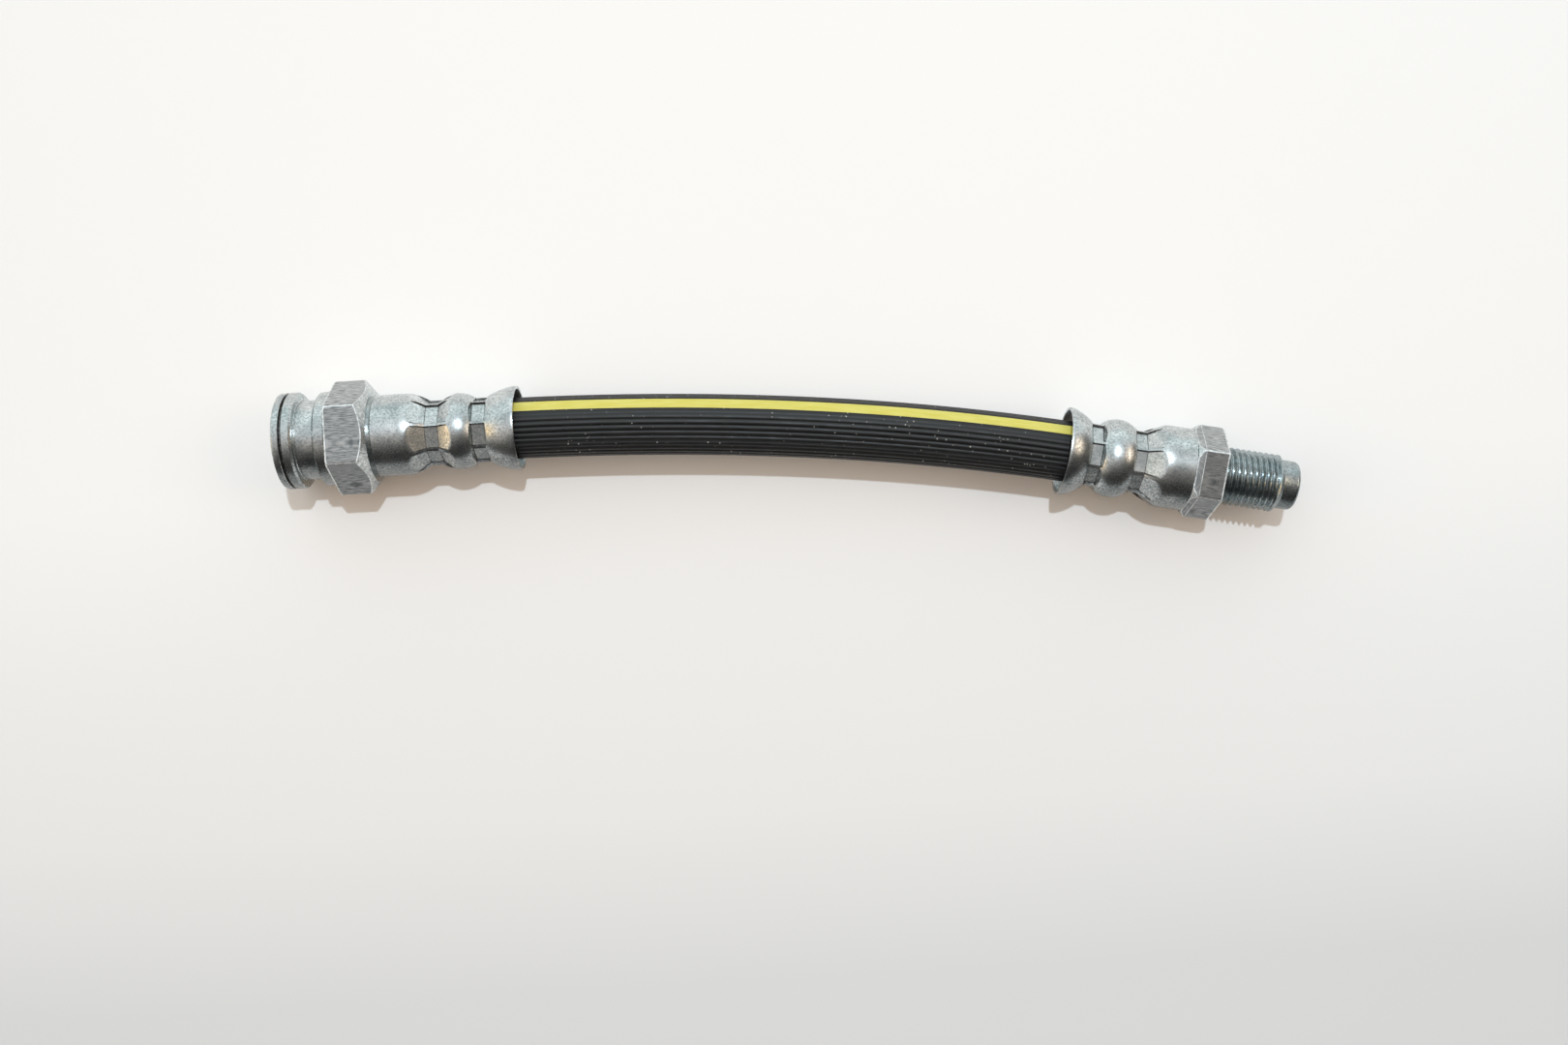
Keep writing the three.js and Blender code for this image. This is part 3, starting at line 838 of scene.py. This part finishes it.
def make_female_fitting(finishes):
    sizes = FEMALE
    turns = columns(sizes)
    barrel = sizes["barrel"] / 2
    undercut = UNDERCUT_DIAMETER / 2
    boss = BOSS_DIAMETER / 2
    neck = CLIP_NECK_DIAMETER / 2
    collar = COLLAR_DIAMETER / 2
    groove = collar - COLLAR_GROOVE_DEPTH
    boss_end = sizes["hex_end"] + BOSS_LENGTH
    neck_end = boss_end + CLIP_NECK_LENGTH
    groove_start = neck_end + COLLAR_GROOVE_START
    groove_end = groove_start + COLLAR_GROOVE_WIDTH
    length = sizes["length"]
    edge = BROKEN_EDGE

    lip = lip_rows(turns, sizes)
    crimp, flats_begin = crimp_rows(turns, sizes)
    creased = crease_columns(turns, sizes, [len(lip) + begin for begin in flats_begin])
    rows = lip + crimp
    rows += plain_rows(turns, [
        (sizes["hex_start"] - UNDERCUT_LENGTH - barrel + undercut, barrel),
        (sizes["hex_start"] - UNDERCUT_LENGTH, undercut),
        (sizes["hex_start"], undercut),
    ])
    finish_of_row = hexagon_finishes(len(rows))
    rows += hexagon_rows(turns, sizes)
    rows += plain_rows(turns, [
        (sizes["hex_end"], boss - BOSS_UNDERCUT),
        (sizes["hex_end"] + BOSS_UNDERCUT, boss - BOSS_UNDERCUT),
        (sizes["hex_end"] + BOSS_UNDERCUT + edge, boss),
        (boss_end - EDGE_CHAMFER, boss),
        (boss_end, boss - EDGE_CHAMFER),
        (boss_end, neck + edge),
        (boss_end + edge, neck),
        (neck_end - edge, neck),
        (neck_end, neck + edge),
        (neck_end, collar - EDGE_CHAMFER),
        (neck_end + EDGE_CHAMFER, collar),
        (groove_start - edge, collar),
    ])
    # The collar's groove takes the painted crease shade
    groove_strips = range(len(rows), len(rows) + 3)
    finish_of_row.update({strip: CREASE_SHADE for strip in groove_strips})
    rows += plain_rows(turns, [
        (groove_start, collar - edge),
        (groove_start + edge, groove),
        (groove_end - edge, groove),
        (groove_end, collar - edge),
        (groove_end + edge, collar),
        (length - EDGE_CHAMFER, collar),
        (length - EDGE_CHAMFER / 2, collar - COLLAR_END_ROUNDING),
        (length, collar - EDGE_CHAMFER),
        (length, PORT_CREST_RADIUS + PORT_MOUTH_CHAMFER),
        (length - PORT_MOUTH_CHAMFER, PORT_CREST_RADIUS),
    ])
    port_end = length - PORT_DEPTH
    thread = thread_rows(
        turns, port_end + PORT_THREAD_STOP, length - PORT_MOUTH_CHAMFER - THREAD_GAP,
        PORT_CREST_RADIUS, PORT_ROOT_RADIUS, female_lie.hand, PORT_THREAD_FADES,
    )
    rows += thread[::-1]
    fluid = FLUID_BORE / 2
    rows += plain_rows(turns, [
        (port_end, PORT_CREST_RADIUS),
        (port_end - (PORT_CREST_RADIUS - fluid) / math.tan(SEAT_CONE_ANGLE), fluid),
    ])
    rows += pocket_rows(turns, sizes)
    piece = fitting_mesh(
        "female_end_fitting", female_lie, turns, rows,
        finishes, finish_of_row, corner_columns(turns, sizes), creased,
    )
    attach(piece, "root")
    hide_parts("female_fitting")


def make_male_fitting(finishes):
    sizes = MALE
    turns = columns(sizes)
    thread_end = sizes["hex_end"] + THREAD_LENGTH
    pilot = PILOT_DIAMETER / 2
    length = sizes["length"] - NOSE_FACED_OFF
    lip = lip_rows(turns, sizes)
    crimp, flats_begin = crimp_rows(turns, sizes)
    creased = crease_columns(turns, sizes, [len(lip) + begin for begin in flats_begin])
    rows = lip + crimp
    barrel = sizes["barrel"] / 2
    rows += plain_rows(turns, [
        (sizes["hex_start"] - BROKEN_EDGE, barrel),
        (sizes["hex_start"], barrel - BROKEN_EDGE),
    ])
    finish_of_row = hexagon_finishes(len(rows), small_end=True)
    rows += hexagon_rows(turns, sizes, barrel - HEX_BEVEL_INSET)
    stem_start = len(rows) - 1
    rows.append(plain_row(turns, sizes["hex_end"], THREAD_CREST_RADIUS))
    rows += thread_rows(
        turns, sizes["hex_end"] + THREAD_GAP, thread_end - THREAD_LEAD,
        THREAD_CREST_RADIUS, THREAD_ROOT_RADIUS, male_lie.hand, STEM_THREAD_FADES,
    )
    rows.append(plain_row(turns, thread_end, pilot + PILOT_FILLET_HEIGHT))
    rows.append(plain_row(turns, thread_end + PILOT_FILLET_LENGTH, pilot))
    for step in range(PILOT_ROUND_STEPS + 1):
        angle = math.pi / 2 * step / PILOT_ROUND_STEPS
        rows.append(plain_row(
            turns,
            length - PILOT_ROUND + PILOT_ROUND * math.sin(angle),
            pilot - PILOT_ROUND + PILOT_ROUND * math.cos(angle),
        ))
    for index in range(stem_start, len(rows)):
        finish_of_row[index] = STEM
    fluid = FLUID_BORE / 2
    rows += plain_rows(turns, [(length, fluid + BORE_COUNTERSINK), (length - BORE_COUNTERSINK, fluid)])
    rows += pocket_rows(turns, sizes)
    piece = fitting_mesh(
        "male_end_fitting", male_lie, turns, rows,
        finishes, finish_of_row, corner_columns(turns, sizes), creased,
    )
    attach(piece, "root")
    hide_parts("male_fitting")


# Finishes

def from_hex(code):
    """Colour as it is written, sRGB, to the linear light that a shader works in."""
    parts = [int(code[i:i + 2], 16) / 255 for i in (1, 3, 5)]
    linear = [c / 12.92 if c <= 0.04045 else ((c + 0.055) / 1.055) ** 2.4 for c in parts]
    return (*linear, 1.0)


def feed(tree, node, **inputs):
    """Gives a node its inputs, by number or by name, as values or as other nodes' outputs."""
    for name, value in inputs.items():
        by_number = name[1:].isdigit()
        socket = node.inputs[int(name[1:])] if by_number else node.inputs[name.replace("_", " ")]
        if isinstance(value, bpy.types.NodeSocket):
            tree.links.new(value, socket)
        else:
            socket.default_value = value


def add(tree, kind, settings=None, stops=(), **inputs):
    """A node with its settings, its inputs, and the stops of its ramp of colours or greys if it has one."""
    node = tree.nodes.new(kind)
    for name, value in (settings or {}).items():
        setattr(node, name, value)
    if stops:
        elements = node.color_ramp.elements
        while len(elements) < len(stops):
            elements.new(0.5)
        for element, (place, shade) in zip(elements, stops):
            element.position = place
            element.color = from_hex(shade) if isinstance(shade, str) else (shade, shade, shade, 1)
    feed(tree, node, **inputs)
    return node


def new_finish(name):
    finish = bpy.data.materials.new(name)
    finish.use_nodes = True
    tree = finish.node_tree
    tree.nodes.clear()
    shader = add(tree, "ShaderNodeBsdfPrincipled")
    add(tree, "ShaderNodeOutputMaterial", Surface=shader.outputs[0])
    return finish, tree, shader


def per_metre(size):
    """How many grains, cells or waves of the given size there are in a metre."""
    return 1 / MM / size


def mottle(tree, size, detail, roughness=0.5):
    """A soft uneven pattern in spots of about the given size."""
    here = add(tree, "ShaderNodeTexCoord")
    spots = add(
        tree, "ShaderNodeTexNoise",
        Vector=here.outputs["Object"], Scale=per_metre(size), Detail=detail, Roughness=roughness,
    )
    return spots.outputs[0]


def streaks(tree, width, squeeze, detail):
    """Streaks of about the given width, drawn out along the piece, their width over their length being
    squeeze."""
    here = add(tree, "ShaderNodeUVMap", {"uv_map": "along_and_round"})
    drawn_out = add(tree, "ShaderNodeMapping", Vector=here.outputs[0], Scale=(squeeze, 1.0, 1.0))
    marks = add(
        tree, "ShaderNodeTexNoise",
        Vector=drawn_out.outputs[0], Scale=per_metre(width), Detail=detail,
    )
    return marks.outputs[0]


def painted_shade_to_south(tree, tint, to_north, darkest, clear, least):
    """Painted shade: a tint that is darker on the fittings' south side. to_north says how far a spot faces
    north. The tint has its least share at darkest, and is whole from clear on."""
    share = add(
        tree, "ShaderNodeMapRange",
        Value=to_north, From_Min=darkest, From_Max=clear, To_Min=least,
    )
    darkened = add(tree, "ShaderNodeVectorMath", {"operation": "SCALE"}, i0=tint, Scale=share.outputs[0])
    return darkened.outputs[0]


def zinc_plate(name, dark, pale, smooth, rough):
    """Electroplated zinc with a blue-clear passivate, on turned steel. The plate is bright but not a
    mirror, and it clouds softly over a few millimetres. Its crystals are too fine to show, so their
    grain is drawn a third of a millimetre coarse."""
    finish, tree, shader = new_finish(name)
    cloud = mottle(tree, 3.0, 3.0)
    crystals = mottle(tree, 0.34, 5.0, 0.7)
    tint = add(tree, "ShaderNodeValToRGB", stops=[(0.3, dark), (0.7, pale)], i0=cloud)
    grain = add(tree, "ShaderNodeValToRGB", stops=[(0.36, 0.46), (0.6, 1.0)], i0=crystals)
    grained = add(
        tree, "ShaderNodeMix", {"data_type": "RGBA", "blend_type": "MULTIPLY"},
        i0=1.0, i6=tint.outputs[0], i7=grain.outputs[0],
    )
    # Painted shade: the plate's colour is darker where it faces south, with an edge made uneven by the
    # crystals
    here = add(tree, "ShaderNodeTexCoord")
    way = add(tree, "ShaderNodeSeparateXYZ", i0=here.outputs["Normal"])
    uneven = add(tree, "ShaderNodeMath", {"operation": "MULTIPLY_ADD"}, i0=crystals, i1=0.5, i2=-0.25)
    to_north = add(tree, "ShaderNodeMath", {"operation": "ADD"}, i0=way.outputs["Y"], i1=uneven.outputs[0])
    shaded = painted_shade_to_south(tree, grained.outputs[2], to_north.outputs[0], -0.8, -0.35, 0.42)
    gloss = add(tree, "ShaderNodeValToRGB", stops=[(0.3, rough), (0.7, smooth)], i0=crystals)
    bump = add(tree, "ShaderNodeBump", Strength=0.5, Distance=0.02 * MM, Height=crystals)
    feed(
        tree, shader,
        Base_Color=shaded, Metallic=1.0, Roughness=gloss.outputs[0], Normal=bump.outputs[0],
    )
    return finish


def drawn_bar_flat():
    """Zinc over the drawn face of hexagon bar. The bar's drawing marks run along it as grey streaks, so
    the face is duller than the turned parts. The finest marks wouldn't show, so they are drawn a fifth
    of a millimetre wide."""
    finish, tree, shader = new_finish("zinc_plated_drawn_bar")
    streak = streaks(tree, 0.2, 0.14, 4.0)
    tint = add(tree, "ShaderNodeValToRGB", stops=[(0.34, "#74797b"), (0.64, "#cbcfd0")], i0=streak)
    # Painted shade: the face's colour is darker where it faces south
    here = add(tree, "ShaderNodeTexCoord")
    way = add(tree, "ShaderNodeSeparateXYZ", i0=here.outputs["Normal"])
    shaded = painted_shade_to_south(tree, tint.outputs[0], way.outputs["Y"], -0.85, -0.4, 0.5)
    gloss = add(tree, "ShaderNodeValToRGB", stops=[(0.3, 0.34), (0.7, 0.24)], i0=streak)
    bump = add(tree, "ShaderNodeBump", Strength=0.35, Distance=0.02 * MM, Height=streak)
    feed(
        tree, shader,
        Base_Color=shaded, Metallic=1.0, Roughness=gloss.outputs[0], Normal=bump.outputs[0],
    )
    return finish


def worn_edge():
    """Zinc burnished on an edge that has been knocked. It is pale and scuffed, so it shows as a bright
    line."""
    finish, tree, shader = new_finish("zinc_burnished_edge")
    scuff = mottle(tree, 0.6, 3.0)
    tint = add(tree, "ShaderNodeValToRGB", stops=[(0.35, "#c4c8c8"), (0.6, "#f2f4f4")], i0=scuff)
    feed(tree, shader, Base_Color=tint.outputs[0], Metallic=1.0, Roughness=0.55)
    return finish


def painted_crease_shade():
    """Zinc at the foot of a crimping jaw's walls and in the collar's groove. It is dull, and its colour is
    painted dark as the shade that falls there, so it shows as a dark line."""
    finish, tree, shader = new_finish("zinc_with_painted_crease_shade")
    dirt = mottle(tree, 0.5, 3.0)
    tint = add(tree, "ShaderNodeValToRGB", stops=[(0.35, "#4b4947"), (0.65, "#7b7a78")], i0=dirt)
    feed(tree, shader, Base_Color=tint.outputs[0], Metallic=1.0, Roughness=0.5)
    return finish


def cover_rubber():
    """EPDM rubber, extruded through a ribbed die. It is a soft black with a low sheen, streaked along
    its length, and a few pale specks of dust cling to it, more in some places than in others."""
    finish, tree, shader = new_finish("extruded_epdm_rubber")
    streak = streaks(tree, 0.6, 0.25, 4.0)
    black = add(tree, "ShaderNodeValToRGB", stops=[(0.3, "#090a0b"), (0.75, "#161718")], i0=streak)
    here = add(tree, "ShaderNodeUVMap", {"uv_map": "along_and_round"})
    cells = add(tree, "ShaderNodeTexVoronoi", Vector=here.outputs[0], Scale=per_metre(0.7))
    dot = add(tree, "ShaderNodeValToRGB", stops=[(0.1, 1.0), (0.22, 0.0)], i0=cells.outputs["Distance"])
    drift = add(tree, "ShaderNodeTexNoise", Vector=here.outputs[0], Scale=per_metre(9.0), Detail=1.0)
    thickness = add(
        tree, "ShaderNodeMath", {"operation": "MULTIPLY_ADD"},
        i0=drift.outputs[0], i1=1.2, i2=-0.6,
    )
    chance = add(
        tree, "ShaderNodeMath", {"operation": "ADD"},
        i0=cells.outputs["Color"], i1=thickness.outputs[0],
    )
    kept = add(tree, "ShaderNodeValToRGB", stops=[(0.62, 0.0), (0.84, 1.0)], i0=chance.outputs[0])
    speck = add(tree, "ShaderNodeMath", {"operation": "MULTIPLY"}, i0=dot.outputs[0], i1=kept.outputs[0])
    dusty = add(
        tree, "ShaderNodeMix", {"data_type": "RGBA"},
        i0=speck.outputs[0], i6=black.outputs[0], i7=from_hex("#a8a8a2"),
    )
    gloss = add(tree, "ShaderNodeValToRGB", stops=[(0.3, 0.42), (0.75, 0.58)], i0=streak)
    bump = add(tree, "ShaderNodeBump", Strength=0.3, Distance=0.08 * MM, Height=streak)
    feed(tree, shader, Base_Color=dusty.outputs[2], Roughness=gloss.outputs[0], Normal=bump.outputs[0])
    return finish


def line_rubber():
    """The yellow lay line, a stripe of coloured rubber run into the cover. It is matt and very slightly
    uneven in colour."""
    finish, tree, shader = new_finish("yellow_line_rubber")
    streak = streaks(tree, 0.8, 0.2, 3.0)
    tint = add(tree, "ShaderNodeValToRGB", stops=[(0.3, "#cdc456"), (0.7, "#d8d172")], i0=streak)
    feed(tree, shader, Base_Color=tint.outputs[0], Roughness=0.6)
    return finish


def inner_rubber():
    """Smooth moulded rubber of the inner tube and the cushion between the braids, an even dull black."""
    finish, tree, shader = new_finish("smooth_inner_rubber")
    grain = mottle(tree, 0.8, 2.0)
    black = add(tree, "ShaderNodeValToRGB", stops=[(0.3, "#141414"), (0.7, "#202020")], i0=grain)
    feed(tree, shader, Base_Color=black.outputs[0], Roughness=0.7)
    return finish


def braid_yarn():
    """Braided polyester yarn, a pale matt weave: two sets of strands that cross. They are drawn about
    three millimetres apart, a few times the real spacing, which would be too fine to show."""
    finish, tree, shader = new_finish("braided_polyester_yarn")
    here = add(tree, "ShaderNodeTexCoord")
    strands = []
    for lean in (1, -1):
        turned = add(
            tree, "ShaderNodeMapping",
            Vector=here.outputs["Object"], Rotation=(math.radians(54) * lean, 0, math.radians(36) * lean),
        )
        wave = add(
            tree, "ShaderNodeTexWave",
            Vector=turned.outputs[0], Scale=per_metre(STRAND_SPACING) * FULL_TURN / WAVE_RATE,
        )
        strands.append(wave.outputs["Fac"])
    weave = add(tree, "ShaderNodeMath", {"operation": "MAXIMUM"}, i0=strands[0], i1=strands[1])
    tint = add(tree, "ShaderNodeValToRGB", stops=[(0.2, "#a79f8c"), (0.9, "#e4dece")], i0=weave.outputs[0])
    bump = add(tree, "ShaderNodeBump", Strength=0.6, Distance=0.1 * MM, Height=weave.outputs[0])
    feed(tree, shader, Base_Color=tint.outputs[0], Roughness=0.85, Normal=bump.outputs[0])
    return finish


def dress(node, finish):
    piece = bpy.data.objects[node]
    for slot in piece.material_slots:
        slot.material = finish
    if not piece.material_slots:
        piece.data.materials.append(finish)


# Table and light

def matt_table():
    """Matt white card, with painted shade that turns it to a light grey on its near side."""
    finish, tree, shader = new_finish("matt_white_card")
    # Painted shade: the card's colour greys towards its near side
    here = add(tree, "ShaderNodeTexCoord")
    way = add(tree, "ShaderNodeSeparateXYZ", i0=here.outputs["Object"])
    near = add(
        tree, "ShaderNodeMapRange",
        Value=way.outputs["Y"], From_Min=CARD_FAR_SIDE * MM, From_Max=CARD_NEAR_SIDE * MM,
    )
    tint = add(
        tree, "ShaderNodeValToRGB",
        stops=[(0.0, "#fbfbfb"), (0.3, "#f3f4f5"), (0.6, "#eeeff0"), (0.9, "#dfe1e3")],
        i0=near.outputs[0],
    )
    feed(tree, shader, Base_Color=tint.outputs[0], Roughness=0.9, Specular_IOR_Level=0.1)
    return finish


def lay_table():
    half = CARD_HALF_WIDTH * MM
    corners = [(-half, -half, 0), (half, -half, 0), (half, half, 0), (-half, half, 0)]
    mesh = bpy.data.meshes.new("table")
    mesh.from_pydata(corners, [], [(0, 1, 2, 3)])
    mesh.materials.append(matt_table())
    table = put("table", mesh)
    table.location = (0, 0, -CARD_DROP * MM)


def light_room():
    """A room with a wide window to the north: cool and bright there, grey overhead, dark to the south,
    with a warm lit doorway in the east and a warm lamp low in the west. One small lamp high above throws
    the sharp shadows."""
    world = bpy.data.worlds.new("room")
    world.use_nodes = True
    tree = world.node_tree
    tree.nodes.clear()
    here = add(tree, "ShaderNodeTexCoord")
    way = add(tree, "ShaderNodeSeparateXYZ", i0=here.outputs["Generated"])
    slant = add(tree, "ShaderNodeMath", {"operation": "MULTIPLY"}, i0=way.outputs["X"], i1=-WINDOW_TO_WEST)
    north = add(tree, "ShaderNodeMath", {"operation": "ADD"}, i0=way.outputs["Y"], i1=slant.outputs[0])
    tilt = add(tree, "ShaderNodeMath", {"operation": "ARCTAN2"}, i0=north.outputs[0], i1=way.outputs["Z"])
    round_sky = add(
        tree, "ShaderNodeMapRange",
        Value=tilt.outputs[0], From_Min=-math.pi / 2, From_Max=math.pi / 2,
    )
    across = add(
        tree, "ShaderNodeValToRGB",
        stops=[
            (0.0, "#423f3d"),
            (0.2, "#3f3c3a"),
            (0.33, "#64605d"),
            (0.42, "#97908a"),
            (0.5, "#b5afab"),
            (0.62, "#d6d4d3"),
            (0.75, "#d6dedf"),
            (0.84, "#f6ffff"),
            (1.0, "#e1ebeb"),
        ],
        i0=round_sky.outputs[0],
    )
    seen, strength = across.outputs[0], ROOM_STRENGTH
    for spot, colour, more in ((DOORWAY, "#ffe8d0", 1.3), (WEST_LAMP, "#ffd9a6", 0.9)):
        towards = add(
            tree, "ShaderNodeVectorMath", {"operation": "DOT_PRODUCT"},
            i0=here.outputs["Generated"], i1=spot,
        )
        glow = add(
            tree, "ShaderNodeValToRGB",
            stops=[(GLOW_BEGINS, 0.0), (GLOW_FULL, 1.0)], i0=towards.outputs["Value"],
        )
        lit = add(
            tree, "ShaderNodeMix", {"data_type": "RGBA"},
            i0=glow.outputs[0], i6=seen, i7=from_hex(colour),
        )
        raised = add(
            tree, "ShaderNodeMath", {"operation": "MULTIPLY_ADD"},
            i0=glow.outputs[0], i1=more, i2=strength,
        )
        seen, strength = lit.outputs[2], raised.outputs[0]
    background = add(tree, "ShaderNodeBackground", Color=seen, Strength=strength)
    add(tree, "ShaderNodeOutputWorld", Surface=background.outputs[0])
    bpy.context.scene.world = world

    lamp = bpy.data.lights.new("high_lamp", "POINT")
    lamp.energy = LAMP_POWER
    lamp.shadow_soft_size = LAMP_RADIUS * MM
    lamp.color = LAMP_COLOUR
    put("high_lamp", lamp).location = Vector(LAMP_PLACE) * MM

    fill = bpy.data.lights.new("warm_fill", "AREA")
    fill.shape = "DISK"
    fill.size = FILL_WIDTH * MM
    fill.energy = FILL_POWER
    fill.color = FILL_COLOUR
    fill.use_shadow = False
    piece = put("warm_fill", fill)
    piece.location = Vector(FILL_PLACE) * MM
    below_camera = Vector((CAMERA_PLACE[0], CAMERA_PLACE[1], 0))
    aim = below_camera - Vector(FILL_PLACE)
    piece.rotation_euler = aim.to_track_quat("-Z", "Y").to_euler()
    piece.visible_glossy = False


place_camera()
make_hose(cover_rubber(), line_rubber())
plate = zinc_plate("zinc_plated_turned_steel", "#c2cbcd", "#edf2f2", 0.2, 0.38)
stem_plate = zinc_plate("zinc_plated_rolled_thread", "#aab6b9", "#c3cdcf", 0.24, 0.34)
fitting_finishes = [plate, drawn_bar_flat(), worn_edge(), stem_plate, painted_crease_shade()]
make_female_fitting(fitting_finishes)
make_male_fitting(fitting_finishes)
smooth_rubber = inner_rubber()
yarn = braid_yarn()
dress("inner_tube", smooth_rubber)
dress("cushion_layer", smooth_rubber)
dress("inner_braid", yarn)
dress("outer_braid", yarn)
lay_table()
light_room()
bpy.context.scene.view_settings.view_transform = "Standard"
